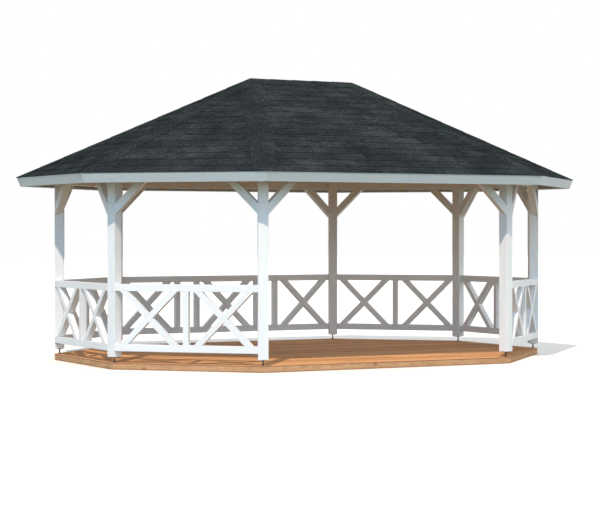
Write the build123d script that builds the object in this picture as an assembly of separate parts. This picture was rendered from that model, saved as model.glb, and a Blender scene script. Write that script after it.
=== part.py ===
from build123d import *

import os
from math import cos, radians, sin, sqrt, tan

# An open garden gazebo in timber: a plan of eight sides, stretched along X, under a hipped roof
# with a short ridge. The front is open and the other seven sides carry a crossed railing.
#
# Frame: millimetres, +Z up, +X along the ridge, the open front faces -Y. The origin is the middle
# of the underside of the deck. Sides and corners are numbered anticlockwise from the front.
# Each side is drawn in a frame of its own: x along the side, y inwards from the line through
# the post centres, z up from the underside of the deck.

SIDES = ["front", "front_right", "right", "back_right", "back", "back_left", "left", "front_left"]
CORNERS = ["front_left", "front_right", "right_front", "right_back",
           "back_right", "back_left", "left_back", "left_front"]
OPEN_SIDE = "front"
LONG_SIDES = ("front", "back")

TURN = 45.0                  # degrees between neighbouring sides
HALF_TURN = radians(TURN / 2)

# Plan, from post centre to post centre
SHORT_SIDE = 1850.0
LONG_SIDE = 3350.0

# Deck
DECK_HEIGHT = 80.0
DECK_OVERHANG = 57.0         # deck edge outside the post centre line
DECK_BOARD = 28.0
EDGE_BOARD = 28.0
JOIST_WIDTH = 45.0
JOIST_COUNT = 13

# Post anchors
ANCHOR_RISE = 66.0           # bare steel between the deck and the foot of a post
ANCHOR_PIN_RADIUS = 9.0
ANCHOR_PLATE = 80.0
ANCHOR_PLATE_THICKNESS = 5.0
ANCHOR_DISC_RADIUS = 22.0
ANCHOR_DISC_THICKNESS = 5.0

# Posts, beams and knee braces, with heights above the deck
POST = 120.0
BEAM_UNDERSIDE = 2145.0
BEAM_WIDTH = 88.0
BEAM_HEIGHT = 165.0
BRACE = 88.0
BRACE_REACH = 436.0          # post centre to the foot of the brace on the beam

# Railings, with heights above the deck
RAIL_TOP = 930.0
RAIL_FOOT = 138.0
RAIL_HEIGHT = 84.0
RAIL_THICKNESS = 70.0
STILE = 70.0
CROSS_BAR = 70.0
CROSS_ANGLE = 45.0
STILE_GAP = 224.0            # between the paired stiles of the long railing

# Roof
ROOF_PITCH = 25.0
EAVE = 497.0                 # roof edge outside the post centre line
ROOF_BOARD = 20.0
SHINGLES = 8.0
SHINGLE_DRIP = 8.0           # shingles beyond the fascia
FASCIA_WIDTH = 122.0
FASCIA_THICKNESS = 22.0
FASCIA_TILT = 20.0
RAFTER_DEPTH = 90.0
RAFTER_WIDTH = 45.0
RAFTER_NOTCH = 12.0          # depth of the rafter's seat at the outer face of the beam
RIDGE_BEAM_DEPTH = 145.0
RIDGE_BEAM_WIDTH = 45.0
BOSS_FACES = 16
BOSS_RADIUS = 116.0
BOSS_DEPTH = 210.0

# Sizes that follow
POST_REACH = POST / 2 * (cos(HALF_TURN) + sin(HALF_TURN))   # outer edge of a post from the side line
BEAM_BOTTOM = DECK_HEIGHT + BEAM_UNDERSIDE
BEAM_TOP = BEAM_BOTTOM + BEAM_HEIGHT
SLOPE = tan(radians(ROOF_PITCH))
STEEPNESS = cos(radians(ROOF_PITCH))
RAFTER_DROP = RAFTER_DEPTH / STEEPNESS
BOARD_DROP = ROOF_BOARD / STEEPNESS
SHINGLE_DROP = SHINGLES / STEEPNESS
RIDGE_HALF = (LONG_SIDE - SHORT_SIDE) / 2
HALF_DEPTH = SHORT_SIDE / 2 + SHORT_SIDE / sqrt(2)          # ridge to the front post centre line
OVERHEAD = BEAM_TOP + HALF_DEPTH                            # above the ridge at any pitch up to 45 degrees


def side_length(side):
    return LONG_SIDE if side in LONG_SIDES else SHORT_SIDE


def ceiling(y):
    """Height of the underside of the roof boards at a place y inside the side line."""
    return BEAM_TOP - RAFTER_NOTCH + RAFTER_DROP + (y + POST_REACH) * SLOPE


def ring(offset):
    """Corners of the plan when every side is moved outwards by offset."""
    diagonal = SHORT_SIDE / sqrt(2)
    half_long = LONG_SIDE / 2 + offset * tan(HALF_TURN)
    half_short = SHORT_SIDE / 2 + offset * tan(HALF_TURN)
    x = LONG_SIDE / 2 + diagonal + offset
    y = SHORT_SIDE / 2 + diagonal + offset
    return [(-half_long, -y), (half_long, -y), (x, -half_short), (x, half_short),
            (half_long, y), (-half_long, y), (-x, half_short), (-x, -half_short)]


def side_frame(number):
    """Place of the frame of a side: the middle of the line between its two post centres."""
    (x0, y0), (x1, y1) = ring(0)[number], ring(0)[(number + 1) % len(SIDES)]
    return Pos((x0 + x1) / 2, (y0 + y1) / 2, 0) * Rot(0, 0, TURN * number)


def corner_frame(number):
    """Place of the frame of a corner: the post centre, with -y outwards along the diagonal."""
    x, y = ring(0)[number]
    return Pos(x, y, 0) * Rot(0, 0, TURN * number - TURN / 2)


def block(x0, x1, y0, y1, z0, z1):
    return Pos((x0 + x1) / 2, (y0 + y1) / 2, (z0 + z1) / 2) * Box(x1 - x0, y1 - y0, z1 - z0)


def upright(outline, bottom, top):
    """A prism that stands on a plan outline."""
    return extrude(Pos(0, 0, bottom) * Polygon(*outline, align=None), top - bottom, dir=(0, 0, 1))


def profile(outline, x0, x1):
    """A bar along x from an outline in y and z."""
    return Pos(x0, 0, 0) * extrude(Plane.YZ * Polygon(*outline, align=None), x1 - x0, dir=(1, 0, 0))


def elevation(outline, y0, y1):
    """A bar through y from an outline in x and z, as a side is seen."""
    face = Plane(origin=(0, y0, 0), x_dir=(1, 0, 0), z_dir=(0, -1, 0)) * Polygon(*outline, align=None)
    return extrude(face, y1 - y0, dir=(0, 1, 0))


def post_face(length, y):
    """Half the clear width between the two posts of a side, at a place y."""
    return length / 2 - (POST / 2 + sin(HALF_TURN) * y) / cos(HALF_TURN)


def bay(length):
    """Everything between the facing sides of the two posts of a side."""
    wide, narrow = post_face(length, -POST), post_face(length, POST)
    return upright([(-wide, -POST), (wide, -POST), (narrow, POST), (-narrow, POST)], 0, BEAM_TOP)


# ---- deck -----------------------------------------------------------------------------------


def edge_board(number):
    """A board on edge round the deck, mitred at the corners."""
    outer, inner = ring(DECK_OVERHANG), ring(DECK_OVERHANG - EDGE_BOARD)
    after = (number + 1) % len(SIDES)
    return upright([outer[number], outer[after], inner[after], inner[number]], 0, DECK_HEIGHT)


def deck_boards():
    """The walking surface, inside the edge boards."""
    return upright(ring(DECK_OVERHANG - EDGE_BOARD), DECK_HEIGHT - DECK_BOARD, DECK_HEIGHT)


def joists():
    """Joists across the deck, from edge board to edge board."""
    inside = upright(ring(DECK_OVERHANG - EDGE_BOARD), 0, DECK_HEIGHT - DECK_BOARD)
    half_width, half_depth = ring(DECK_OVERHANG - EDGE_BOARD)[2][0], HALF_DEPTH + DECK_OVERHANG
    pitch = 2 * half_width / (JOIST_COUNT + 1)
    bars = []
    for number in range(JOIST_COUNT):
        x = (number + 1) * pitch - half_width
        bar = block(x - JOIST_WIDTH / 2, x + JOIST_WIDTH / 2, -half_depth, half_depth, 0, DECK_HEIGHT)
        bars.append(bar & inside)
    return bars


# ---- posts, beams and braces ----------------------------------------------------------------


def post(number):
    """A square post, turned to face out along the diagonal, up to the seat of its hip rafter."""
    half = POST / 2
    foot, seat = DECK_HEIGHT + ANCHOR_RISE, ceiling(0) - RAFTER_DROP
    return corner_frame(number) * block(-half, half, -half, half, foot, seat)


def anchor(number):
    """A steel pin with a bearing plate under the post and a small disc on the deck."""
    disc = Pos(0, 0, ANCHOR_DISC_THICKNESS / 2) * Cylinder(ANCHOR_DISC_RADIUS, ANCHOR_DISC_THICKNESS)
    pin = Pos(0, 0, ANCHOR_RISE / 2) * Cylinder(ANCHOR_PIN_RADIUS, ANCHOR_RISE)
    half = ANCHOR_PLATE / 2
    plate = block(-half, half, -half, half, ANCHOR_RISE - ANCHOR_PLATE_THICKNESS, ANCHOR_RISE)
    return corner_frame(number) * Pos(0, 0, DECK_HEIGHT) * (disc + pin + plate)


def beam(number):
    """A beam let in between two posts, its outer face in line with their outer edges."""
    length = side_length(SIDES[number])
    bar = block(-length / 2, length / 2, -POST_REACH, BEAM_WIDTH - POST_REACH, BEAM_BOTTOM, BEAM_TOP)
    return side_frame(number) * (bar & bay(length))


def knee_braces(number):
    """The two braces of a side, at 45 degrees from each post up to the beam."""
    length = side_length(SIDES[number])
    thick = BRACE * sqrt(2)
    foot = BEAM_BOTTOM - BRACE_REACH
    pair = []
    for hand in (-1, 1):
        post_x = hand * length / 2
        beam_x = post_x - hand * BRACE_REACH
        outline = [(post_x, foot), (beam_x, BEAM_BOTTOM), (beam_x + hand * thick, BEAM_BOTTOM),
                   (post_x, foot + thick)]
        bar = elevation(outline, -POST_REACH, BRACE - POST_REACH)
        pair.append(side_frame(number) * (bar & bay(length)))
    return pair


# ---- railings -------------------------------------------------------------------------------


def rail_end(side):
    """Half the clear length of a rail, between the posts at its outer face."""
    return post_face(side_length(side), -POST_REACH)


def stile_places(side):
    """Middles of the upright stiles: one on a short side, two pairs on the long side."""
    if side not in LONG_SIDES:
        return [0.0]
    crossed = (2 * rail_end(side) - 4 * STILE - 2 * STILE_GAP) / 3
    inner = crossed / 2 + STILE / 2
    outer = inner + STILE + STILE_GAP
    return [-outer, -inner, inner, outer]


def crossed_bays(side):
    """Middles of the bays that hold a cross: all but the narrow gap inside a pair of stiles."""
    edge = rail_end(side) + STILE / 2
    places = [-edge] + stile_places(side) + [edge]
    middles = [(a + b) / 2 for a, b in zip(places, places[1:])]
    return middles[::2] if side in LONG_SIDES else middles


def railing(number):
    """Two rails, the stiles between them and a cross of two bars in each bay, as one frame."""
    side = SIDES[number]
    length = side_length(side)
    front, back = -POST_REACH, RAIL_THICKNESS - POST_REACH
    foot, head = DECK_HEIGHT + RAIL_FOOT, DECK_HEIGHT + RAIL_TOP
    low, high = foot + RAIL_HEIGHT, head - RAIL_HEIGHT
    middle, half = (low + high) / 2, (high - low) / 2
    frame = block(-length / 2, length / 2, front, back, foot, low)
    frame += block(-length / 2, length / 2, front, back, high, head)
    for x in stile_places(side):
        frame += block(x - STILE / 2, x + STILE / 2, front, back, low, high)
    lean = tan(radians(CROSS_ANGLE))
    across = CROSS_BAR / 2 / sin(radians(CROSS_ANGLE))
    for x in crossed_bays(side):
        for hand in (-1, 1):
            run = hand * half / lean
            outline = [(x - run - across, low), (x - run + across, low),
                       (x + run + across, high), (x + run - across, high)]
            frame += elevation(outline, front, back)
    return side_frame(number) * (frame & bay(length))


# ---- roof -----------------------------------------------------------------------------------


def roof_sector(number, offset):
    """The plan area of one roof face, from its eave to the ridge, between the hip lines."""
    corners = ring(offset)
    after = (number + 1) % len(SIDES)
    outline = [corners[number], corners[after]]
    peaks = [(RIDGE_HALF if x > 0 else -RIDGE_HALF, 0) for x, _ in reversed(outline)]
    return upright(outline + (peaks if peaks[0] != peaks[1] else peaks[:1]), 0, OVERHEAD)


def roof_slice(number, outline, offset):
    """An outline in y and z, run along one side and mitred at the hips, out to an offset."""
    reach = side_length(SIDES[number])
    return (side_frame(number) * profile(outline, -reach, reach)) & roof_sector(number, offset)


def above_ceiling(number):
    """All the space over the underside of the roof boards of one face, to cut timbers with."""
    peak = HALF_DEPTH
    outline = [(-EAVE, ceiling(-EAVE)), (peak, ceiling(peak)), (peak, OVERHEAD), (-EAVE, OVERHEAD)]
    return roof_slice(number, outline, EAVE)


def fascia_back(drop):
    """Offset of the back of the fascia, where it lies drop below the top of the roof boards."""
    lean = tan(radians(FASCIA_TILT))
    return EAVE - FASCIA_THICKNESS / cos(radians(FASCIA_TILT)) - drop * lean / (1 + lean * SLOPE)


def fascia_outline():
    """Outline of a fascia board in y and z: its top follows the roof boards, its foot tilts in."""
    back = fascia_back(0)
    inwards, down = FASCIA_WIDTH * sin(radians(FASCIA_TILT)), FASCIA_WIDTH * cos(radians(FASCIA_TILT))
    top, top_back = ceiling(-EAVE) + BOARD_DROP, ceiling(-back) + BOARD_DROP
    return [(-EAVE, top), (-back, top_back), (inwards - back, top_back - down), (inwards - EAVE, top - down)]


def roof_panel(number):
    """One face of the roof: boards up to the back of the fascia, shingles over it to the drip."""
    peak, drip, cover = HALF_DEPTH, EAVE + SHINGLE_DRIP, BOARD_DROP + SHINGLE_DROP
    foot, back = fascia_back(BOARD_DROP), fascia_back(0)
    outline = [(-foot, ceiling(-foot)), (peak, ceiling(peak)), (peak, ceiling(peak) + cover),
               (-drip, ceiling(-drip) + cover), (-drip, ceiling(-drip) + BOARD_DROP),
               (-back, ceiling(-back) + BOARD_DROP)]
    return roof_slice(number, outline, drip)


def fascia_board(number):
    """The sloping board along an eave, mitred at the hips."""
    return roof_slice(number, fascia_outline(), EAVE)


def rafter_outline(upper_end):
    """Outline of a rafter in y and z, from the back of the fascia to a plumb cut."""
    foot, toe = fascia_back(BOARD_DROP), fascia_back(BOARD_DROP + RAFTER_DROP)
    return [(-foot, ceiling(-foot)), (upper_end, ceiling(upper_end)),
            (upper_end, ceiling(upper_end) - RAFTER_DROP), (-toe, ceiling(-toe) - RAFTER_DROP)]


def rafter(number, x, upper_end, beams):
    """A rafter square to its side, notched over the beam."""
    half = RAFTER_WIDTH / 2
    bar = side_frame(number) * profile(rafter_outline(upper_end), x - half, x + half)
    return bar - beams[number]


def rafters(beams):
    """A rafter in the middle of each face up to a boss, and more on the long faces to the ridge."""
    bars = []
    for number, side in enumerate(SIDES):
        if side in LONG_SIDES:
            for x in (-RIDGE_HALF, RIDGE_HALF):
                bars.append(rafter(number, x, HALF_DEPTH - BOSS_RADIUS, beams))
            bars.append(rafter(number, 0, HALF_DEPTH - RIDGE_BEAM_WIDTH / 2, beams))
        else:
            bars.append(rafter(number, 0, HALF_DEPTH - BOSS_RADIUS, beams))
    return bars


def hip_rafter(number, spaces, fascias, posts):
    """A rafter under a hip, backed to the two faces that it carries and seated on its post."""
    spread = cos(HALF_TURN)
    half = RAFTER_WIDTH / 2
    inner = HALF_DEPTH / spread - BOSS_RADIUS
    outer = (fascia_back(BOARD_DROP) + FASCIA_THICKNESS / 2) / spread
    toe = (fascia_back(BOARD_DROP + RAFTER_DROP) + FASCIA_THICKNESS / 2) / spread
    outline = [(-outer, ceiling(-outer * spread)), (-outer, OVERHEAD), (inner, OVERHEAD),
               (inner, ceiling(inner * spread) - RAFTER_DROP), (-toe, ceiling(-toe * spread) - RAFTER_DROP)]
    bar = corner_frame(number) * profile(outline, -half, half) - posts[number]
    for face in ((number - 1) % len(SIDES), number):
        bar = bar - spaces[face] - fascias[face]
    return bar


def bosses(spaces):
    """The block at each end of the ridge that the rafters run up to."""
    turn = 180 / BOSS_FACES
    corner = BOSS_RADIUS / cos(radians(turn))
    foot = ceiling(HALF_DEPTH) - BOSS_DEPTH
    pair = []
    for x in (-RIDGE_HALF, RIDGE_HALF):
        outline = Pos(x, 0, foot) * Rot(0, 0, turn) * RegularPolygon(corner, BOSS_FACES)
        boss = extrude(outline, OVERHEAD - foot, dir=(0, 0, 1))
        for space in spaces:
            boss -= space
        pair.append(boss)
    return pair


def ridge_beam(spaces):
    """The beam from boss to boss under the ridge, backed to the two long faces."""
    half = RIDGE_BEAM_WIDTH / 2
    reach = RIDGE_HALF - BOSS_RADIUS
    bar = block(-reach, reach, -half, half, ceiling(HALF_DEPTH) - RIDGE_BEAM_DEPTH, OVERHEAD)
    for side in LONG_SIDES:
        bar -= spaces[SIDES.index(side)]
    return bar


# ---- all pieces -----------------------------------------------------------------------------


def sides_where(keep):
    return [number for number in range(len(SIDES)) if keep(number)]


def build():
    """Every node by name, each a list of solids."""
    straight = sides_where(lambda number: number % 2 == 0)
    diagonal = sides_where(lambda number: number % 2 == 1)
    ends = [number for number in straight if SIDES[number] not in LONG_SIDES]
    long = [number for number in straight if SIDES[number] in LONG_SIDES]

    posts = [post(number) for number in range(len(CORNERS))]
    beams = [beam(number) for number in range(len(SIDES))]
    spaces = [above_ceiling(number) for number in range(len(SIDES))]
    fascias = [fascia_board(number) for number in range(len(SIDES))]

    nodes = {}
    nodes["deck_boards"] = [deck_boards()]
    nodes["deck_joists"] = joists()
    nodes["deck_straight_edge_boards"] = [edge_board(number) for number in straight]
    nodes["deck_diagonal_edge_boards"] = [edge_board(number) for number in diagonal]
    nodes["post_anchors"] = [anchor(number) for number in range(len(CORNERS))]
    for number, corner in enumerate(CORNERS):
        nodes[corner + "_post"] = [posts[number]]
    for number, side in enumerate(SIDES):
        nodes[side + "_beam"] = [beams[number]]
    for name, group in (("long_side", long), ("end", ends), ("diagonal", diagonal)):
        nodes[name + "_braces"] = [piece for number in group for piece in knee_braces(number)]
    for number, side in enumerate(SIDES):
        if side != OPEN_SIDE:
            nodes[side + "_railing"] = [railing(number)]
    nodes["rafters"] = rafters(beams)
    nodes["hip_rafters"] = [hip_rafter(number, spaces, fascias, posts) for number in range(len(CORNERS))]
    nodes["ridge_beam"] = [ridge_beam(spaces)]
    nodes["ridge_bosses"] = bosses(spaces)
    for number, side in enumerate(SIDES):
        nodes[side + "_roof"] = [roof_panel(number)]
    nodes["straight_fascias"] = [fascias[number] for number in straight]
    nodes["diagonal_fascias"] = [fascias[number] for number in diagonal]
    return nodes


def save(nodes):
    os.makedirs("parts", exist_ok=True)
    for name, pieces in nodes.items():
        solids = [solid for piece in pieces for solid in piece.solids()]
        export_step(solids[0] if len(solids) == 1 else Compound(children=solids), f"parts/{name}.step")


save(build())
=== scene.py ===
import random
from math import ceil, cos, hypot, pi, radians, sin, tan

import bmesh
import bpy
from mathutils import Matrix, Vector


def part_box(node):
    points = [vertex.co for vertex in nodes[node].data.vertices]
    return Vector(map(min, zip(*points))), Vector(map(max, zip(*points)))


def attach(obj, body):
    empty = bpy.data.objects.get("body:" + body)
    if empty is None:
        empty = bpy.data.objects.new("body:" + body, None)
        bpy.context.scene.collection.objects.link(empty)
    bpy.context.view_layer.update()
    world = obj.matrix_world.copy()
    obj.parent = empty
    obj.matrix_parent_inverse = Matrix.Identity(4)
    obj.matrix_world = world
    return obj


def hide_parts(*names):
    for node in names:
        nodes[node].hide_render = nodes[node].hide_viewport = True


# The looks of an open garden gazebo in timber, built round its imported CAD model. Metres, +Z up,
# the open front faces -Y. Each side has a frame of its own: x along the side, y inwards from the
# line through the post centres, z up from the underside of the deck.

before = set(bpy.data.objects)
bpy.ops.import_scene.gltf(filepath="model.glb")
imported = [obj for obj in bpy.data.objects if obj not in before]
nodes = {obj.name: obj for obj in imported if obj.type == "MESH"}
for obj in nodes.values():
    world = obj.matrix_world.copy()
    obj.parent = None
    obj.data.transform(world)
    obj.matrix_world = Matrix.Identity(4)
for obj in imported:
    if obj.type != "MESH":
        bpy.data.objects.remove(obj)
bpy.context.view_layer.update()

BODY = "root"
SIDES = ["front", "front_right", "right", "back_right", "back", "back_left", "left", "front_left"]
CORNERS = ["front_left", "front_right", "right_front", "right_back",
           "back_right", "back_left", "left_back", "left_front"]    # where each side starts
LONG_SIDES = ("front", "back")
OPEN_SIDE = "front"
HALF_TURN = radians(22.5)    # half the angle between neighbouring sides
UP = Vector((0, 0, 1))
FAR = 9.0                    # past the end of any side
SAME_PLACE = 1e-5            # corners nearer than this are one
SCRAP = 1e-4                 # area of an offcut that is left out

# Sizes of the CAD part that its boxes don't give
PITCH = radians(25)
SHINGLES = 0.008             # thickness of the shingle layer, square to the slope
ROOF_BOARD = 0.020           # thickness of the boards under it
FASCIA_WIDTH = 0.122
FASCIA_THICKNESS = 0.022
FASCIA_TILT = radians(20)
SHINGLE_DRIP = 0.008         # shingles beyond the fascia
EDGE_BOARD = 0.028           # thickness of the boards round the deck
STILE = 0.070
STILE_GAP = 0.224            # between the two stiles of a pair
CROSS_BAR = 0.070
RAIL_THICKNESS = 0.070
RAIL_HEIGHT = 0.084
JOIST_COUNT = 13

# Sizes that its boxes give
post_places = [sum(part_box(corner + "_post"), Vector()) / 2 for corner in CORNERS]
POST_REACH = (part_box("front_left_post")[1].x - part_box("front_left_post")[0].x) / 2
POST = 2 * POST_REACH / (cos(HALF_TURN) + sin(HALF_TURN))    # width of a post, turned by HALF_TURN
HALF_DEPTH = -post_places[0].y    # from the long sides' post line to the ridge
DECK_BOTTOM, DECK_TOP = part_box("deck_boards")[0].z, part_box("deck_boards")[1].z
DECK_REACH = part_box("deck_boards")[1].x
DECK_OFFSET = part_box("deck_boards")[1].y - HALF_DEPTH
JOIST_PITCH = 2 * DECK_REACH / (JOIST_COUNT + 1)
RAIL_FOOT, RAIL_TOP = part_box("back_railing")[0].z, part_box("back_railing")[1].z
RIDGE_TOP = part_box("front_roof")[1].z
EAVE = -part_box("front_roof")[0].y - HALF_DEPTH - SHINGLE_DRIP    # from a post line to the fascia


# ---- places ---------------------------------------------------------------------------------


def side_length(number):
    after = (number + 1) % len(SIDES)
    return (post_places[after] - post_places[number]).to_2d().length


def side_matrix(number):
    """Frame of a side: the middle of the line between its two post centres, y inwards."""
    start, end = (post_places[n % len(SIDES)].to_2d().to_3d() for n in (number, number + 1))
    along = (end - start).normalized()
    across = UP.cross(along)
    turn = Matrix((along, across, UP)).transposed().to_4x4()
    return Matrix.Translation((start + end) / 2) @ turn


def half_width(number, y):
    """Half the length of a roof face or deck side at a place y inside its side line."""
    return side_length(number) / 2 - y * tan(HALF_TURN)


def post_face(number, y):
    """Half the clear width between the two posts of a side, at a place y."""
    return side_length(number) / 2 - (POST / 2 + sin(HALF_TURN) * y) / cos(HALF_TURN)


def roof_height(y, depth=0.0):
    """Height of the roof at a place y inside a side line, depth below the shingles' top."""
    return RIDGE_TOP - (HALF_DEPTH - y) * tan(PITCH) - depth / cos(PITCH)


def fascia_back(drop):
    """Offset of the back of the fascia, where it lies drop below the top of the roof boards."""
    lean = tan(FASCIA_TILT)
    return EAVE - FASCIA_THICKNESS / cos(FASCIA_TILT) - drop * lean / (1 + lean * tan(PITCH))


def side_cuts(number):
    """Where boards along a side end: None at its mitres, and the middle of a long side."""
    return [None, 0.0, None] if SIDES[number] in LONG_SIDES else [None, None]


def board_end(number, hand, cut, y, gap):
    """Place along a side where a board ends at y: at the mitre, or a gap short of a cut."""
    return hand * half_width(number, y) if cut is None else cut - hand * gap


# ---- outlines -------------------------------------------------------------------------------


def rectangle(x0, x1, y0, y1):
    return [(x0, y0), (x1, y0), (x1, y1), (x0, y1)]


def at_height(outline, z):
    """A plan outline at one height."""
    return [(x, y, z) for x, y in outline]


def dot(a, b):
    return a[0] * b[0] + a[1] * b[1]


def area(polygon):
    return abs(sum(a[0] * b[1] - a[1] * b[0]
                   for a, b in zip(polygon, polygon[1:] + polygon[:1]))) / 2


def clip(polygon, normal, reach):
    """The part of a convex polygon where normal . point is at most reach."""
    kept = []
    for here, there in zip(polygon, polygon[1:] + polygon[:1]):
        a, b = dot(normal, here) - reach, dot(normal, there) - reach
        if a <= 0:
            kept.append(here)
        if (a < 0 < b) or (b < 0 < a):
            share = a / (a - b)
            kept.append((here[0] + share * (there[0] - here[0]),
                         here[1] + share * (there[1] - here[1])))
    return [here for here, there in zip(kept, kept[1:] + kept[:1])
            if hypot(here[0] - there[0], here[1] - there[1]) > SAME_PLACE]


def on_face(number, polygon):
    """The part of a polygon in a side's plan between the hip lines of its roof face."""
    reach = side_length(number) / 2
    for hand in (-1, 1):
        polygon = clip(polygon, (hand, tan(HALF_TURN)), reach)
    return polygon


def on_deck(polygon, offset):
    """The part of a plan polygon that lies at most offset beyond the post lines."""
    for number in range(len(SIDES)):
        place = side_matrix(number)
        outwards = -place.col[1].xyz
        polygon = clip(polygon, (outwards.x, outwards.y), outwards @ place.translation + offset)
        if not polygon:
            return []
    return polygon


# ---- pieces ---------------------------------------------------------------------------------

LOG_LENGTH = 60
LOG_REACH = 0.07             # of a board from the log's heart, to either side
LOG_DEPTH = (0.02, 0.10)     # of a board below or above the log's heart


class Piece:
    """Many boards joined into one mesh. Every board has its own run of grain and its own tone."""

    def __init__(self, name):
        self.name = name
        self.points, self.faces, self.grain, self.tone, self.kinds = [], [], [], [], []
        self.draw = random.Random(name)

    def add(self, matrix, bottom, top, along, across, bevel=0.0, tone=None, steps=1, cut=0):
        """A solid between two outlines with the same number of corners, in the given frame.
        Its side faces take material number cut."""
        count = len(bottom)
        mesh = bmesh.new()
        corners = [mesh.verts.new(matrix @ Vector(p)) for p in list(bottom) + list(top)]
        low, high = corners[:count], corners[count:]
        mesh.faces.new(low[::-1])
        mesh.faces.new(high)
        for n in range(count):
            m = (n + 1) % count
            mesh.faces.new((low[n], low[m], high[m], high[n])).material_index = cut
        bmesh.ops.recalc_face_normals(mesh, faces=mesh.faces)
        if bevel:
            bmesh.ops.bevel(mesh, geom=list(mesh.edges), offset=bevel, offset_type="OFFSET",
                            segments=steps, profile=0.5, affect="EDGES", clamp_overlap=True)
        self.take(mesh, matrix.to_3x3() @ Vector(along), matrix.to_3x3() @ Vector(across), tone)
        mesh.free()

    def take(self, mesh, along, across, tone=None):
        """Adds a bmesh as one board, with its grain along one direction."""
        along = along.normalized()
        depth = along.cross(across).normalized()
        across = depth.cross(along)
        start = len(self.points)
        mesh.verts.index_update()
        middle = sum((v.co for v in mesh.verts), Vector()) / len(mesh.verts)
        shift = place_in_log(self.draw)
        tone = self.draw.uniform(-1, 1) if tone is None else tone
        for vert in mesh.verts:
            place = vert.co - middle
            self.points.append(vert.co.copy())
            self.grain.append(Vector((place @ along, place @ across, place @ depth)) + shift)
            self.tone.append(tone)
        for face in mesh.faces:
            self.faces.append([start + v.index for v in face.verts])
            self.kinds.append(face.material_index)

    def finish(self, materials, slot=None, replaces=()):
        mesh = bpy.data.meshes.new(self.name)
        mesh.from_pydata(self.points, [], self.faces)
        write_grain(mesh, self.grain, self.tone)
        for material in materials:
            mesh.materials.append(material)
        mesh.polygons.foreach_set("material_index", self.kinds)
        thing = bpy.data.objects.new(self.name, mesh)
        bpy.context.scene.collection.objects.link(thing)
        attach(thing, BODY)
        if replaces:
            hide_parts(*replaces)


def place_in_log(draw):
    """Where a board was sawn: anywhere along its log, and a little off the heart."""
    return Vector((draw.uniform(0, LOG_LENGTH), draw.uniform(-LOG_REACH, LOG_REACH),
                   draw.choice((-1, 1)) * draw.uniform(*LOG_DEPTH)))


def write_grain(mesh, grain, tone):
    """Point attributes that the materials read: metres along, across and into a board, and tone."""
    places = mesh.attributes.new("grain", "FLOAT_VECTOR", "POINT")
    places.data.foreach_set("vector", [x for place in grain for x in place])
    tones = mesh.attributes.new("tone", "FLOAT", "POINT")
    tones.data.foreach_set("value", tone)


# ---- CAD nodes ------------------------------------------------------------------------------

WELD = 1e-4                  # corners of a CAD mesh nearer than this are one
SHARP = 0.05                 # least angle of an edge of a board, in radians
LENGTHWISE = 0.2             # most cosine between a board's run and the normal of a long face
FORWARDS = Vector((1, 0.1, 0.01))    # picks one of the two ways along a board
ROUNDED = radians(25)        # least angle of an edge that is eased
KEYS_PER_METRE = 2000


def islands(mesh):
    """The separate solids of a welded bmesh, each a list of its faces."""
    seen, found = set(), []
    for first in mesh.faces:
        if first in seen:
            continue
        seen.add(first)
        group, queue = [], [first]
        while queue:
            face = queue.pop()
            group.append(face)
            for edge in face.edges:
                for other in edge.link_faces:
                    if other not in seen:
                        seen.add(other)
                        queue.append(other)
        found.append(group)
    return found


def run_of(group):
    """Directions along and across a board: its longest sharp edge, in its widest face."""
    edges = [e for f in group for e in f.edges
             if len(e.link_faces) == 2 and e.calc_face_angle(0) > SHARP]
    longest = max(edges, key=lambda e: e.calc_length())
    along = (longest.verts[1].co - longest.verts[0].co).normalized()
    if along @ FORWARDS < 0:
        along = -along
    sides = [f for f in group if abs(f.normal @ along) < LENGTHWISE]
    widest = max(sides, key=lambda f: f.calc_area())
    return along, widest.normal.cross(along)


def corner_key(place):
    """One key for all the corners of a CAD mesh that lie in one place."""
    return tuple(round(x * KEYS_PER_METRE) for x in place)


def dress(name, material, bevel, steps=2):
    """Keeps a CAD node: eased edges by modifiers, grain along each of its solids, a material."""
    thing = nodes[name]
    mesh = thing.data
    if "custom_normal" in mesh.attributes:
        mesh.attributes.remove(mesh.attributes["custom_normal"])
    mesh.shade_flat()
    draw = random.Random(name)
    welded = bmesh.new()
    welded.from_mesh(mesh)
    bmesh.ops.remove_doubles(welded, verts=welded.verts, dist=WELD)
    bmesh.ops.recalc_face_normals(welded, faces=welded.faces)
    where = {}
    for group in islands(welded):
        along, across = run_of(group)
        corners = list(dict.fromkeys(v for f in group for v in f.verts))
        middle = sum((v.co for v in corners), Vector()) / len(corners)
        shift = place_in_log(draw)
        tone = draw.uniform(-1, 1)
        turn = Matrix((along, across.normalized(), along.cross(across).normalized()))
        for v in corners:
            where[corner_key(v.co)] = (turn, middle, shift, tone)
    grain, tones = [], []
    for vert in mesh.vertices:
        known = where.get(corner_key(vert.co))
        if known is None:
            near = min(welded.verts, key=lambda v: (v.co - vert.co).length_squared)
            known = where[corner_key(near.co)]
        turn, middle, shift, tone = known
        grain.append(turn @ (vert.co - middle) + shift)
        tones.append(tone)
    welded.free()
    write_grain(mesh, grain, tones)
    mesh.materials.clear()
    mesh.materials.append(material)
    weld = thing.modifiers.new("Weld", "WELD")
    weld.merge_threshold = WELD
    ease = thing.modifiers.new("Eased edges", "BEVEL")
    ease.width = bevel
    ease.segments = steps
    ease.limit_method = "ANGLE"
    ease.angle_limit = ROUNDED


# ---- materials ------------------------------------------------------------------------------

YEAR_RING = 0.0105           # width of a year ring
TINTS = (0.8, 1.0, 1.15)     # how much a board's tone changes its red, green and blue


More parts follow.
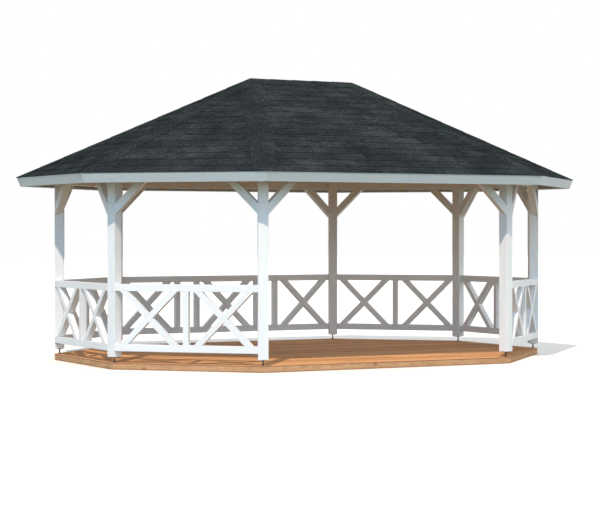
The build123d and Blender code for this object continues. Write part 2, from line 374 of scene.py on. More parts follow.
class Nodes:
    """A short way to write a node tree."""

    def __init__(self, tree):
        self.tree = tree

    def feed(self, socket, value):
        """Links a socket to another node's output, or sets its own value."""
        if isinstance(value, bpy.types.NodeSocket):
            self.tree.links.new(value, socket)
        else:
            socket.default_value = value

    def node(self, kind, inputs=(), **settings):
        made = self.tree.nodes.new("ShaderNode" + kind)
        for key, value in settings.items():
            setattr(made, key, value)
        for key, value in dict(inputs).items():
            self.feed(made.inputs[key], value)
        return made

    def math(self, operation, *values):
        return self.node("Math", enumerate(values), operation=operation).outputs[0]

    def vector(self, operation, *values):
        return self.node("VectorMath", enumerate(values), operation=operation).outputs[0]

    def parts(self, vector):
        return self.node("SeparateXYZ", {0: vector}).outputs

    def noise(self, place, scale, detail=2.0, roughness=0.5):
        return self.node("TexNoise", {"Vector": self.vector("MULTIPLY", place, scale), "Scale": 1.0,
                                      "Detail": detail, "Roughness": roughness}).outputs["Fac"]

    def fade(self, value, low, high, to_low=0.0, to_high=1.0):
        """Goes smoothly from to_low to to_high while value goes from low to high."""
        return self.node("MapRange", {"Value": value, "From Min": low, "From Max": high,
                                      "To Min": to_low, "To Max": to_high},
                         interpolation_type="SMOOTHSTEP").outputs[0]

    def mix(self, share, first, second, blend="MIX"):
        """A colour, from share, A and B, which are the Mix node's inputs 0, 6 and 7 for colours."""
        return self.node("Mix", {0: share, 6: first, 7: second},
                         data_type="RGBA", blend_type=blend).outputs[2]

    def place(self):
        """Metres in the shared frame."""
        return self.node("TexCoord").outputs["Object"]


class Surface(Nodes):
    """The nodes of one material, in front of its Principled shader."""

    def __init__(self, name):
        self.material = bpy.data.materials.new(name)
        self.material.use_nodes = True
        super().__init__(self.material.node_tree)
        self.shader = self.tree.nodes["Principled BSDF"]

    def grain(self):
        return self.node("Attribute", attribute_name="grain").outputs["Vector"]

    def tone(self):
        return self.node("Attribute", attribute_name="tone").outputs["Fac"]

    def set(self, **sockets):
        for key, value in sockets.items():
            self.feed(self.shader.inputs[key.replace("_", " ")], value)

    def bump(self, *layers):
        """Height layers, each a value and its full height in metres."""
        total = None
        for value, height in layers:
            term = self.math("MULTIPLY", value, height)
            total = term if total is None else self.math("ADD", total, term)
        made = self.node("Bump", {"Height": total, "Strength": 1.0, "Distance": 1.0})
        self.feed(self.shader.inputs["Normal"], made.outputs[0])


def rgb(red, green, blue):
    return (red, green, blue, 1.0)


def timber(name, light, dark, knot, shade, rings, knots, roughness, relief, gloss, tint=0.10,
           knot_size=1.0, knots_per_metre=3.4, weather=None):
    """Timber: year rings drawn out along the grain, fibres, knots, a tone for each board.

    shade, rings and knots are the strengths of the dark clouds, the rings and the knots. weather is
    the colour of the worn patches of a board that stands on the ground; with it come painted shade
    at the board's foot and a painted shadow line just under the rim of the deck."""
    s = Surface(name)
    grain = s.grain()

    # Metres from the middle of the nearest knot
    cells = s.vector("MULTIPLY", grain, (knots_per_metre, knots_per_metre, 0.4))
    spot = s.node("TexVoronoi", {"Vector": cells, "Scale": 1.0, "Randomness": 1.0}).outputs["Distance"]
    spot = s.math("DIVIDE", spot, knots_per_metre)
    around = s.fade(spot, 0.01, 0.07, 1.0, 0.0)
    heart = s.fade(spot, 0.005 * knot_size, 0.012 * knot_size, 1.0, 0.0)

    # Rings round the log's heart, which wander along it and swell at a knot
    parts = s.parts(grain)
    flat = s.node("CombineXYZ", {1: parts[1], 2: parts[2]}).outputs[0]
    radius = s.node("VectorMath", {0: flat}, operation="LENGTH").outputs["Value"]
    wander = s.noise(grain, (0.9, 6.0, 6.0), 3.0)
    radius = s.math("ADD", radius, s.math("MULTIPLY", wander, 0.10))
    radius = s.math("ADD", radius, s.math("MULTIPLY", around, 0.016))
    wave = s.math("SINE", s.math("MULTIPLY", radius, 2 * pi / YEAR_RING))
    ring = s.fade(wave, -0.2, 1.0)

    # Colour, from rings, clouds, fibres, weather with its painted shade, and knots to the tone of the
    # board
    fibre = s.noise(grain, (7.0, 420.0, 420.0), 2.0, 0.6)
    cloud = s.noise(grain, (1.3, 9.0, 9.0), 3.0)
    colour = s.mix(s.math("MULTIPLY", ring, rings), light, dark)
    colour = s.mix(s.fade(cloud, 0.3, 0.75, 0.0, shade), colour, dark)
    colour = s.mix(s.fade(fibre, 0.35, 0.8, 0.0, rings * 0.45), colour, dark)
    if weather:
        colour = weathered_and_shaded(s, colour, light, knot, weather)
        colour = s.mix(s.fade(spot, 0.010, 0.050, 0.5 * knots, 0.0), colour, knot)
    colour = s.mix(s.math("MULTIPLY", heart, knots), colour, knot)
    tone = s.tone()
    tints = s.node("CombineColor", {n: s.math("MULTIPLY_ADD", tone, tint * share, 1.0)
                                    for n, share in enumerate(TINTS)}).outputs[0]
    s.set(Base_Color=s.mix(1.0, colour, tints, "MULTIPLY"),
          Roughness=s.fade(fibre, 0.2, 0.8, roughness - 0.06, roughness + 0.08),
          Specular_IOR_Level=gloss)
    s.bump((fibre, relief), (ring, relief * 0.8), (heart, relief))
    return s.material


def weathered_and_shaded(s, colour, light, painted_shade, weather):
    """Worn and fresh patches, painted shade at the foot, and a painted shadow line just under the rim
    of the deck.
    """
    place = s.place()
    patch = s.noise(place, (9.0, 9.0, 16.0), 4.0, 0.7)
    height = s.parts(place)[2]
    # Painted shadow: a dark line just under the rim of the deck
    painted_rim_shadow = s.math("MULTIPLY", s.fade(height, DECK_TOP - 0.018, DECK_TOP - 0.008, 0.0, 0.75),
                 s.fade(height, DECK_TOP - 0.003, DECK_TOP - 0.0005, 1.0, 0.0))
    colour = s.mix(s.fade(patch, 0.46, 0.66, 0.0, 0.62), colour, weather)
    colour = s.mix(s.fade(patch, 0.32, 0.45, 0.40, 0.0), colour, light)
    # Painted shade: darker at the foot, where the board meets the ground
    colour = s.mix(s.fade(height, 0.004, 0.020, 0.6, 0.0), colour, painted_shade)
    return s.mix(painted_rim_shadow, colour, painted_shade)


def paint(name, colour, roughness):
    """Painted timber: the ring lines, fibres and knots show faintly through."""
    darker = rgb(*(x * y for x, y in zip(colour, (0.86, 0.87, 0.88))))
    warm = rgb(*(x * y for x, y in zip(colour, (0.86, 0.82, 0.74))))
    return timber(name, rgb(*colour), darker, warm, shade=0.35, rings=0.28, knots=0.35,
                  roughness=roughness, relief=0.00022, gloss=0.35, tint=0.018)


def shingle_material():
    """Mineral granules on asphalt: a tone for each tab, blended patches, streaks, flecks, grit."""
    s = Surface("mineral_shingles")
    grain = s.grain()
    blend = s.noise(s.place(), (2.2, 2.2, 5.0), 2.0, 0.6)
    streak = s.noise(grain, (9.0, 40.0, 40.0), 2.0, 0.6)
    fleck = s.noise(grain, (34.0, 70.0, 70.0), 2.0, 0.7)
    grit = s.noise(grain, (130.0, 160.0, 160.0), 3.0, 0.8)
    level = s.math("MULTIPLY", s.tone(), 0.17)
    for layer, share in ((blend, 1.6), (streak, 1.5), (fleck, 3.0), (grit, 1.5)):
        level = s.math("ADD", level, s.math("MULTIPLY_ADD", layer, share, -share / 2))
    colour = s.mix(s.fade(level, -0.75, 0.05), rgb(0.0108, 0.0140, 0.0155), rgb(0.0236, 0.0290, 0.0312))
    colour = s.mix(s.fade(level, 0.0, 0.85), colour, rgb(0.056, 0.065, 0.062))
    s.set(Base_Color=colour, Roughness=0.95, Specular_IOR_Level=0.0)
    s.bump((grit, 0.0011), (fleck, 0.0009))
    return s.material


def asphalt_material():
    """The cut edge of a shingle: black asphalt with a few granules."""
    s = Surface("asphalt_edge")
    fleck = s.noise(s.grain(), (40.0, 160.0, 160.0), 2.0, 0.6)
    colour = s.mix(s.fade(fleck, 0.35, 0.7), rgb(0.004, 0.005, 0.006), rgb(0.016, 0.020, 0.022))
    s.set(Base_Color=colour, Roughness=0.9, Specular_IOR_Level=0.0)
    s.bump((fleck, 0.0006))
    return s.material


def steel_material():
    """Black coating with worn, rougher patches and a fine speckle."""
    s = Surface("black_coated_steel")
    place = s.place()
    speck = s.noise(place, (260.0, 260.0, 260.0), 3.0, 0.6)
    wear = s.noise(place, (30.0, 30.0, 30.0), 3.0, 0.6)
    colour = s.mix(s.fade(wear, 0.45, 0.8), rgb(0.050, 0.052, 0.056), rgb(0.095, 0.092, 0.088))
    s.set(Base_Color=colour, Metallic=0.35, Roughness=s.fade(wear, 0.3, 0.8, 0.38, 0.6))
    s.bump((speck, 0.0002))
    return s.material


def screw_material():
    """Dull zinc, clouded."""
    s = Surface("zinc_screw")
    dull = s.noise(s.place(), (900.0, 900.0, 900.0), 2.0)
    s.set(Base_Color=s.mix(dull, rgb(0.30, 0.28, 0.25), rgb(0.55, 0.53, 0.48)), Metallic=0.9,
          Roughness=s.fade(dull, 0.2, 0.8, 0.35, 0.6))
    return s.material


WHITE_PAINT = paint("white_paint", (0.87, 0.88, 0.89), 0.50)
# The white paint made darker and bluer: partly a paint a little darker than the posts', partly painted
# shade of the eaves
SHADED_FASCIA_PAINT = paint("fascia_paint", (0.576, 0.629, 0.657), 0.52)
DECK_TIMBER = timber(
    "deck_timber", light=rgb(0.72, 0.372, 0.152), dark=rgb(0.44, 0.192, 0.070),
    knot=rgb(0.16, 0.06, 0.025), shade=0.50, rings=0.50, knots=0.9, roughness=0.80, relief=0.0005,
    gloss=0.22, tint=0.26)
EDGE_TIMBER = timber(
    "edge_timber", light=rgb(0.71, 0.420, 0.228), dark=rgb(0.40, 0.20, 0.092),
    knot=rgb(0.26, 0.090, 0.035), shade=0.40, rings=0.45, knots=0.9, roughness=0.80, relief=0.0005,
    gloss=0.22, knot_size=1.6, knots_per_metre=4.6, weather=rgb(0.42, 0.255, 0.135))
ROOF_TIMBER = timber(
    "roof_timber", light=rgb(0.62, 0.41, 0.205), dark=rgb(0.41, 0.234, 0.102),
    knot=rgb(0.18, 0.08, 0.03), shade=0.35, rings=0.40, knots=0.9, roughness=0.75, relief=0.0004,
    gloss=0.25)
MINERAL_SHINGLES = shingle_material()
ASPHALT = asphalt_material()
BLACK_STEEL = steel_material()
ZINC = screw_material()


# ---- deck -----------------------------------------------------------------------------------

SIDE_KINDS = (("straight", 0), ("diagonal", 1))    # each is every second side, from that number
DECK_ROWS = 38
DECK_GAP = 0.005             # between two rows
DECK_BUTT = 0.0008           # from the end of a board to its joint
DECK_INSET = 0.001           # of the boards, behind the edge of the CAD deck
JOINT_JOISTS = (3, 5, 7, 9)  # where the two boards of a row may meet
DECK_BEVEL = 0.0028
EDGE_BEVEL = 0.0025
SCREW_INSET = 0.024          # from the edge of a row
SCREW_SPREAD = 0.016         # from the middle of a joist that carries a joint
SCREW_RADIUS = 0.0042
SCREW_HEIGHT = 0.0009
SCREW_SINK = 0.0006          # of the foot of its head, in the deck
SCREW_SIDES = 8
# Shares of its radius and height, from the foot to the dished middle
SCREW_PROFILE = ((1.0, 0.0), (1.0, 0.6), (0.86, 1.0), (0.42, 1.0), (0.3, 0.35))
SCREW_ROOM = 0.02            # half a square round the screw
SCREW_ROOM_AREA = 0.00159    # of that square, which has to be on the deck


def make_deck():
    """Rows of two boards, screwed to every joist, that never meet where those of the last row do."""
    boards, screws = Piece("deck_planks"), Piece("deck_screws")
    draw = random.Random("deck joints")
    width = 2 * (HALF_DEPTH + DECK_OFFSET) / DECK_ROWS
    joists = [(n + 1) * JOIST_PITCH - DECK_REACH for n in range(JOIST_COUNT)]
    joint = JOINT_JOISTS[1]
    for row in range(DECK_ROWS):
        y0 = -HALF_DEPTH - DECK_OFFSET + row * width
        y1 = y0 + width
        joint = draw.choice([n for n in JOINT_JOISTS if n != joint])
        for x0, x1 in ((-DECK_REACH, joists[joint]), (joists[joint], DECK_REACH)):
            board = rectangle(x0 + DECK_BUTT, x1 - DECK_BUTT, y0 + DECK_GAP / 2, y1 - DECK_GAP / 2)
            board = on_deck(board, DECK_OFFSET - DECK_INSET)
            if area(board) > SCRAP:
                boards.add(Matrix(), at_height(board, DECK_BOTTOM), at_height(board, DECK_TOP),
                           (1, 0, 0), (0, 1, 0), DECK_BEVEL)
        for joist, x in enumerate(joists):
            for y in (y0 + SCREW_INSET, y1 - SCREW_INSET):
                for shift in ((-SCREW_SPREAD, SCREW_SPREAD) if joist == joint else (0.0,)):
                    add_screw(screws, x + shift, y)
    boards.finish([DECK_TIMBER], "deck_timber", ["deck_boards"])
    screws.finish([ZINC])


def add_screw(piece, x, y):
    """A countersunk head with a dished middle, where it has room on the deck."""
    room = rectangle(x - SCREW_ROOM, x + SCREW_ROOM, y - SCREW_ROOM, y + SCREW_ROOM)
    if area(on_deck(room, DECK_OFFSET)) <= SCREW_ROOM_AREA:
        return
    place = Matrix.Translation((x, y, DECK_TOP - SCREW_SINK))
    turns = [2 * pi * n / SCREW_SIDES for n in range(SCREW_SIDES)]
    mesh = bmesh.new()
    rings = []
    for share, level in SCREW_PROFILE:
        radius = SCREW_RADIUS * share
        rings.append([mesh.verts.new(place @ Vector((radius * cos(turn), radius * sin(turn),
                                                     SCREW_HEIGHT * level))) for turn in turns])
    for low, high in zip(rings, rings[1:]):
        for n in range(SCREW_SIDES):
            m = (n + 1) % SCREW_SIDES
            mesh.faces.new((low[n], low[m], high[m], high[n]))
    mesh.faces.new(rings[-1])
    mesh.faces.new(rings[0][::-1])
    piece.take(mesh, Vector((1, 0, 0)), Vector((0, 1, 0)))
    mesh.free()


def make_edge_boards():
    """Boards on edge round the deck, mitred at the corners."""
    outer, inner = -DECK_OFFSET - EDGE_BOARD, -DECK_OFFSET
    for name, first in SIDE_KINDS:
        piece = Piece(name + "_edge_planks")
        for number in range(first, len(SIDES), 2):
            cuts = side_cuts(number)
            for low, high in zip(cuts, cuts[1:]):
                corners = ((-1, low, outer), (1, high, outer), (1, high, inner), (-1, low, inner))
                outline = [(board_end(number, hand, cut, y, DECK_BUTT), y) for hand, cut, y in corners]
                piece.add(side_matrix(number), at_height(outline, 0), at_height(outline, DECK_TOP),
                          (1, 0, 0), (0, 0, 1), EDGE_BEVEL)
        piece.finish([EDGE_TIMBER], "deck_timber", [f"deck_{name}_edge_boards"])


# ---- railings -------------------------------------------------------------------------------

RAIL_BEVEL = 0.0035
BAR_BEVEL = 0.003


def stile_places(number):
    """Middles of the upright stiles: one on a short side, two pairs on a long side."""
    if SIDES[number] not in LONG_SIDES:
        return [0.0]
    end = post_face(number, -POST_REACH)
    crossed = (2 * end - 4 * STILE - 2 * STILE_GAP) / 3
    inner = crossed / 2 + STILE / 2
    outer = inner + STILE + STILE_GAP
    return [-outer, -inner, inner, outer]


def crossed_bays(number):
    """Middles of the bays that hold a cross."""
    edge = post_face(number, -POST_REACH) + STILE / 2
    places = [-edge] + stile_places(number) + [edge]
    middles = [(a + b) / 2 for a, b in zip(places, places[1:])]
    return middles[::2] if SIDES[number] in LONG_SIDES else middles


def make_railing(number):
    """Two rails between the posts, upright stiles, and a cross in each bay: one whole bar, and
    the other in two halves that end at it."""
    piece = Piece(SIDES[number] + "_rail_frame")
    place = side_matrix(number)
    front, back = -POST_REACH, RAIL_THICKNESS - POST_REACH
    low, high = RAIL_FOOT + RAIL_HEIGHT, RAIL_TOP - RAIL_HEIGHT
    rail = [(-post_face(number, front), front), (post_face(number, front), front),
            (post_face(number, back), back), (-post_face(number, back), back)]
    for z0, z1 in ((RAIL_FOOT, low), (high, RAIL_TOP)):
        piece.add(place, at_height(rail, z0), at_height(rail, z1), (1, 0, 0), (0, 0, 1),
                  RAIL_BEVEL, steps=2)

    def bar(outline, along, across):
        """A bar through the thickness of the railing, which is upright in the side's frame."""
        piece.add(place, [(x, front, z) for x, z in outline], [(x, back, z) for x, z in outline],
                  along, across, BAR_BEVEL, steps=2)

    for x in stile_places(number):
        bar(rectangle(x - STILE / 2, x + STILE / 2, low, high), (0, 0, 1), (1, 0, 0))
    half, middle = (high - low) / 2, (high + low) / 2
    cut = CROSS_BAR / 2 * 2 ** 0.5    # half a level or upright cut through a bar at 45 degrees
    for x in crossed_bays(number):
        left, right = x - half, x + half
        bar([(left - cut, low), (left + cut, low), (right + cut, high), (right - cut, high)],
            (1, 0, 1), (1, 0, -1))
        bar([(right - cut, low), (right + cut, low), (x + cut, middle), (x, middle - cut)],
            (1, 0, -1), (1, 0, 1))
        bar([(left - cut, high), (left + cut, high), (x, middle + cut), (x - cut, middle)],
            (1, 0, -1), (1, 0, 1))
    piece.finish([WHITE_PAINT], "painted_timber", [SIDES[number] + "_railing"])


# ---- roof -----------------------------------------------------------------------------------

SOFFIT_ROWS = 27
SOFFIT_GAP = 0.0006          # between the tongued boards of the soffit
SOFFIT_BEVEL = 0.003
SOFFIT_SMALL = 0.01          # area of a board under which it has no bevel
SOFFIT_LONG = 1.3            # half the length of a row from which it has a joint
SOFFIT_SPREAD = 0.36         # of a joint from the middle of its row, as a share of half the row
COURSES = 16
TAB = 0.42                   # from the middle of a slot to the next
SPARE_TABS = 4               # more than fit in a course, which starts outside the face
SLOT = 0.009
LAP = 0.0044                 # fall of a tab from its butt edge to the next course
COVERED = 0.012              # of a tab or cap, under the next one
EAVE_EDGE = 0.0046           # thickness of the first course, where it lies on the fascia
LIP = EAVE + 0.004           # where the shingles end, a little beyond the fascia
BASE_LAYER = 0.003           # thickness of the layer that shows in the slots
BASE_SETBACK = 0.006         # of its foot from the fascia's face
STARTER_TOP = 0.0026         # depth of the strip that shows in the slots of the first course
STARTER_REACH = 0.03         # inside the fascia's face
STARTER_LIFT = 0.0002        # of its underside above the first course's
HIDDEN_TONE = -1.2           # of that layer and that strip
TAB_BED = 0.0006             # height of the underside of a tab above the boards
TAB_TONES = (-0.7, 0.0, 0.8)
TAB_TONE_SHARES = (0.34, 0.46, 0.20)
TAB_TONE_SPREAD = 0.3
MOST_JOG = 0.0015            # of a tab's butt edge, up or down the slope
MOST_OFFSET = 0.0006         # by which a tab's top is lower, or a cap's top higher
CUT_FACES = 1                # number of the material of cut edges
CAP_WING = 0.14              # in plan, from the fold to the long edge
CAP_RISE = 0.31              # in plan, most from one cap to the next
CAP_OVERHANG = 0.003         # beyond the shingles
CAP_BED = 0.003              # depth of the underside of a cap
CAP_BUTT = 0.0042            # height of a cap's lower end above the shingles' top
CAP_FALL = 0.0034            # from there to its upper end
CAP_TONES = (-0.7, 0.8)
RIDGE_MITRE = radians(33.75)    # turn of the cut between the hip caps and the ridge caps
FASCIA_BUTT = 0.0006         # from the end of a board to its joint
FASCIA_BEVEL = 0.0022


def slab(piece, number, outline, top, bottom, bevel=0.0, tone=None, cut=0):
    """A flat solid on a roof face. top and bottom give the depth below the shingles' top at y."""
    piece.add(side_matrix(number), [(x, y, roof_height(y, bottom(y))) for x, y in outline],
              [(x, y, roof_height(y, top(y))) for x, y in outline],
              (1, 0, 0), (0, cos(PITCH), sin(PITCH)), bevel, tone, cut=cut)


def make_soffit(number):
    """Tongued boards along the face, with a groove between each two."""
    piece = Piece(SIDES[number] + "_roof_boards")
    draw = random.Random(SIDES[number] + " soffit joints")
    start = -fascia_back(ROOF_BOARD / cos(PITCH))
    rise = (HALF_DEPTH - start) / SOFFIT_ROWS
    for row in range(SOFFIT_ROWS):
        y0 = start + row * rise
        y1 = y0 + rise - SOFFIT_GAP
        half = half_width(number, y0)
        joints = []
        if half >= SOFFIT_LONG:
            joints.append(draw.uniform(-SOFFIT_SPREAD, SOFFIT_SPREAD) * half)
        for x0, x1 in zip([-FAR] + joints, joints + [FAR]):
            board = on_face(number, rectangle(x0, x1 - SOFFIT_GAP, y0, y1))
            if area(board) > SCRAP:
                bevel = SOFFIT_BEVEL if area(board) > SOFFIT_SMALL else 0.0
                slab(piece, number, board, lambda y: SHINGLES, lambda y: SHINGLES + ROOF_BOARD, bevel)
    piece.finish([ROOF_TIMBER], "roof_timber", [SIDES[number] + "_roof"])


def make_shingles(number):
    """Courses of tabs, each lapped over the one below, on a base layer that shows in the slots."""
    piece = Piece(SIDES[number] + "_shingle_courses")
    draw = random.Random(SIDES[number] + " shingle tones")
    base = on_face(number, rectangle(-FAR, FAR, BASE_SETBACK - EAVE, HALF_DEPTH))
    slab(piece, number, base, lambda y: SHINGLES - BASE_LAYER, lambda y: SHINGLES,
         tone=HIDDEN_TONE, cut=CUT_FACES)
    starter = on_face(number, rectangle(-FAR, FAR, -LIP, STARTER_REACH - EAVE))
    slab(piece, number, starter, lambda y: STARTER_TOP, lambda y: EAVE_EDGE - STARTER_LIFT,
         tone=HIDDEN_TONE, cut=CUT_FACES)
    rise = (HALF_DEPTH + LIP) / COURSES
    shift = draw.uniform(0, TAB)
    for course in range(COURSES):
        low, high = -LIP + course * rise, -LIP + (course + 1) * rise
        half = half_width(number, low)
        bed = SHINGLES - TAB_BED if course else EAVE_EDGE
        first = -ceil(half / TAB + 1) * TAB + (shift + course % 2 * TAB / 2) % TAB
        for tab in range(ceil(2 * half / TAB) + SPARE_TABS):
            x0 = first + tab * TAB
            jog, sink = draw.uniform(-MOST_JOG, MOST_JOG), draw.uniform(0, MOST_OFFSET)
            tone = draw.choices(TAB_TONES, TAB_TONE_SHARES)[0]
            tone += draw.uniform(-TAB_TONE_SPREAD, TAB_TONE_SPREAD)
            edge = low + jog if course else low
            outline = on_face(number, rectangle(x0 + SLOT / 2, x0 + TAB - SLOT / 2,
                                                edge, min(high + COVERED, HALF_DEPTH)))
            if area(outline) > SCRAP:
                slab(piece, number, outline, lambda y: sink + (y - low) / rise * LAP,
                     lambda y: bed, tone=tone, cut=CUT_FACES)
    piece.finish([MINERAL_SHINGLES, ASPHALT], "roof_shingles", [SIDES[number] + "_roof"])


def add_cap_halves(caps, line, number, start, end, inwards, limits):
    """One face's halves of the caps along a line. A line's name gives both faces the same draws."""
    place, draw = side_matrix(number), random.Random(line)
    length = hypot(end[0] - start[0], end[1] - start[1])
    step = ((end[0] - start[0]) / length, (end[1] - start[1]) / length)
    along = place.to_3x3() @ Vector((*step, 0))
    count = ceil(length / CAP_RISE)
    rise = length / count
    for cap in range(count):
        near, far = cap * rise, min((cap + 1) * rise + COVERED, length)
        tone, lift = draw.uniform(*CAP_TONES), draw.uniform(0, MOST_OFFSET)
        outline = [tuple(a + b * run + c * wing for a, b, c in zip(start, step, inwards))
                   for run, wing in rectangle(near, far, 0, CAP_WING)]
        for normal, reach in limits:
            outline = clip(outline, normal, reach)
        if area(outline) < SCRAP:
            continue
        half = []
        for x, y in outline:
            from_start = (x - start[0], y - start[1])
            share = (dot(from_start, step) - near) / (far - near)
            low, high = (place @ Vector((x, y, roof_height(y, depth)))
                         for depth in (CAP_BED, -CAP_BUTT - lift + CAP_FALL * share))
            half.append((low, high, dot(from_start, inwards) < SAME_PLACE))
        caps.setdefault((line, cap), (along, tone, []))[2].append(half)


def add_cap(piece, along, tone, halves):
    """One cap from its halves, each a list of corners: low, high, and whether it is at the fold."""
    mesh = bmesh.new()
    for half in halves:
        low, high = ([mesh.verts.new(corner[n]) for corner in half] for n in (0, 1))
        mesh.faces.new(low[::-1])
        mesh.faces.new(high)
        for n in range(len(half)):
            m = (n + 1) % len(half)
            if not (half[n][2] and half[m][2]):
                mesh.faces.new((low[n], low[m], high[m], high[n]))
    bmesh.ops.remove_doubles(mesh, verts=mesh.verts, dist=SAME_PLACE)
    bmesh.ops.recalc_face_normals(mesh, faces=mesh.faces)
    piece.take(mesh, along, UP.cross(along), tone)
    mesh.free()


def make_caps():
    """Folded caps over the hips and the ridge, lapped upwards, mitred where they meet.

    On a long side the hips' caps are cut by the mitres with the ridge's, and on the others they end
    at the middle of the side."""
    caps = {}
    for number, side in enumerate(SIDES):
        ridge_end = half_width(number, HALF_DEPTH)
        mitres = []
        for hand in (-1, 1):
            start, end = (hand * half_width(number, -LIP), -LIP), (hand * ridge_end, HALF_DEPTH)
            inwards = (-hand * cos(HALF_TURN), -sin(HALF_TURN))
            if side in LONG_SIDES:
                mitre = (hand * cos(RIDGE_MITRE), -sin(RIDGE_MITRE))
                mitres.append((mitre, dot(mitre, end)))
                limit = ((-mitre[0], -mitre[1]), -dot(mitre, end))
            else:
                limit = ((-hand, 0), 0.0)
            corner = number if hand < 0 else (number + 1) % len(SIDES)
            add_cap_halves(caps, f"cap {corner}", number, start, end, inwards,
                           [((0, -1), LIP + CAP_OVERHANG), limit])
        if side in LONG_SIDES:
            turn = 1 if side == "front" else -1    # both faces' halves start at the same end
            add_cap_halves(caps, "ridge caps", number, (-turn * ridge_end, HALF_DEPTH),
                           (turn * ridge_end, HALF_DEPTH), (0, -1), mitres)
    piece = Piece("hip_and_ridge_caps")
    for along, tone, halves in caps.values():
        add_cap(piece, along, tone, halves)
    piece.finish([MINERAL_SHINGLES], "roof_shingles")


def make_fascias():
    """Boards along the eaves, their feet tilted inwards, mitred at the corners."""
    back = fascia_back(0)
    inwards, down = FASCIA_WIDTH * sin(FASCIA_TILT), FASCIA_WIDTH * cos(FASCIA_TILT)
    top, top_back = roof_height(-EAVE, EAVE_EDGE), roof_height(-back, EAVE_EDGE)
    outline = [(-EAVE, top), (-back, top_back), (inwards - back, top_back - down),
               (inwards - EAVE, top - down)]
    for name, first in SIDE_KINDS:
        piece = Piece(name + "_fascia_planks")
        for number in range(first, len(SIDES), 2):
            cuts = side_cuts(number)
            for low, high in zip(cuts, cuts[1:]):
                ends = [[(board_end(number, hand, cut, y, FASCIA_BUTT), y, z) for y, z in outline]
                        for hand, cut in ((-1, low), (1, high))]
                piece.add(side_matrix(number), *ends, (1, 0, 0),
                          (0, sin(FASCIA_TILT), -cos(FASCIA_TILT)), FASCIA_BEVEL)
        piece.finish([SHADED_FASCIA_PAINT], "fascia_paint", [name + "_fascias"])


# ---- all pieces -----------------------------------------------------------------------------

POST_BEVEL = 0.005
BEAM_BEVEL = 0.004
RAFTER_BEVEL = 0.0025        # of the joists too
ANCHOR_BEVEL = 0.0008

make_deck()
make_edge_boards()
make_caps()
make_fascias()
for number, side in enumerate(SIDES):
    make_soffit(number)
    make_shingles(number)
    if side != OPEN_SIDE:
        make_railing(number)
    dress(side + "_beam", WHITE_PAINT, BEAM_BEVEL)
for corner in CORNERS:
    dress(corner + "_post", WHITE_PAINT, POST_BEVEL)
for name in ("long_side", "end", "diagonal"):
    dress(name + "_braces", WHITE_PAINT, BEAM_BEVEL)
for name in ("rafters", "hip_rafters", "ridge_beam", "ridge_bosses"):
    dress(name, ROOF_TIMBER, RAFTER_BEVEL)
dress("deck_joists", EDGE_TIMBER, RAFTER_BEVEL)
dress("post_anchors", BLACK_STEEL, ANCHOR_BEVEL, steps=1)


# ---- camera, light and floor ----------------------------------------------------------------

HEADING = -0.486             # of the camera, in radians from +Y
camera = bpy.data.objects.new("camera", bpy.data.cameras.new("camera"))
camera.data.lens = 113.75
camera.data.sensor_width = 36.0
camera.data.shift_x = -0.0128
camera.data.shift_y = -0.0426
camera.data.clip_end = 500.0
camera.location = (-11.430, -21.802, 1.628)
camera.rotation_euler = (radians(90), 0.0, HEADING)
bpy.context.scene.collection.objects.link(camera)
bpy.context.scene.camera = camera
bpy.context.scene.view_settings.view_transform = "Standard"

SUNBEAM = Vector((0.398, 0.500, -0.769))    # down from the front left
sun = bpy.data.objects.new("sun", bpy.data.lights.new("sun", "SUN"))
sun.data.energy = 2.80
sun.data.color = (1.0, 0.845, 0.69)
sun.data.angle = radians(0.9)
sun.rotation_euler = SUNBEAM.to_track_quat("-Z", "Y").to_euler()
bpy.context.scene.collection.objects.link(sun)

# The sky that lights the object, by the height of a direction, in three parts: hazy from the
# right, deep blue around the sun, which stands front left, and dim at the back left. What the
# camera sees is white.
SKY_LEVEL = 1.7
SKY_BLEND = 0.1              # half the width of the change from one part to the next
HAZE = ((0.00, (0.36, 0.50, 0.60)), (0.16, (0.42, 0.54, 0.64)), (0.26, (0.91, 0.92, 0.94)),
        (0.48, (0.91, 0.92, 0.94)), (0.60, (0.74, 0.75, 0.76)), (0.80, (0.72, 0.72, 0.72)),
        (0.92, (0.25, 0.25, 0.25)))
SUN_SKY = ((0.00, (0.80, 1.00, 1.00)), (0.16, (0.76, 0.97, 1.00)), (0.26, (0.30, 0.60, 1.00)),
           (0.48, (0.32, 0.59, 0.96)), (0.60, (0.39, 0.54, 0.76)), (0.80, (0.39, 0.54, 0.74)),
           (0.92, (0.25, 0.25, 0.25)))
DIM_SKY = ((0.00, (0.16, 0.23, 0.28)), (0.16, (0.19, 0.25, 0.30)), (0.26, (0.34, 0.37, 0.40)),
           (0.80, (0.30, 0.35, 0.40)), (0.92, (0.25, 0.25, 0.25)))
FLOOR_REACH = 90


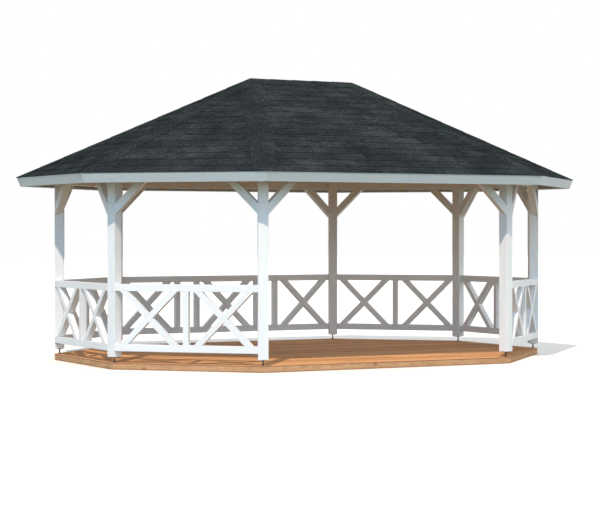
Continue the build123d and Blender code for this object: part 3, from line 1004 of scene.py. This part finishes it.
def make_sky():
    """The world: it lights the object by direction, and is white to the camera."""
    world = bpy.data.worlds.new("studio")
    bpy.context.scene.world = world
    world.use_nodes = True
    world.node_tree.nodes.clear()
    air = Nodes(world.node_tree)
    direction = air.parts(air.node("TexCoord").outputs["Generated"])

    def ramp_of(stops):
        ramp = air.node("ValToRGB", {0: direction[2]})
        while len(ramp.color_ramp.elements) < len(stops):
            ramp.color_ramp.elements.new(0.5)
        for element, (place, colour) in zip(ramp.color_ramp.elements, stops):
            element.position = place
            element.color = rgb(*colour)
        return ramp.outputs[0]

    leftward = air.fade(direction[0], SKY_BLEND, -SKY_BLEND)
    frontward = air.fade(direction[1], SKY_BLEND, -SKY_BLEND)
    left_sky = air.mix(frontward, ramp_of(DIM_SKY), ramp_of(SUN_SKY))
    sky = air.mix(leftward, ramp_of(HAZE), left_sky)
    rays = air.node("LightPath").outputs
    seen = air.math("MAXIMUM", rays["Is Camera Ray"], rays["Is Glossy Ray"])
    seen = air.math("MAXIMUM", seen, rays["Is Transmission Ray"])
    lit = air.node("Background", {0: sky, 1: SKY_LEVEL}).outputs[0]
    plain = air.node("Background", {0: rgb(1.0, 1.0, 1.0), 1: 1.0}).outputs[0]
    air.node("OutputWorld", {0: air.node("MixShader", {0: seen, 1: lit, 2: plain}).outputs[0]})


def make_floor():
    """A pale floor, which gives the object the light of dark ground."""
    mesh = bpy.data.meshes.new("floor")
    corners = rectangle(-FLOOR_REACH, FLOOR_REACH, -FLOOR_REACH, FLOOR_REACH)
    mesh.from_pydata(at_height(corners, 0), [], [(0, 1, 2, 3)])
    floor = bpy.data.objects.new("floor", mesh)
    bpy.context.scene.collection.objects.link(floor)
    s = Surface("pale_floor")
    rays = s.node("LightPath").outputs
    seen = s.math("MAXIMUM", rays["Is Camera Ray"], rays["Is Glossy Ray"])
    speckle = s.noise(s.place(), (2.0, 2.0, 2.0), 2.0)
    pale = s.mix(speckle, rgb(0.92, 0.89, 0.85), rgb(0.95, 0.92, 0.88))
    colour = s.mix(seen, rgb(0.142, 0.138, 0.080), pale)
    s.set(Base_Color=colour, Roughness=0.9, Specular_IOR_Level=0.1)
    mesh.materials.append(s.material)


make_sky()
make_floor()
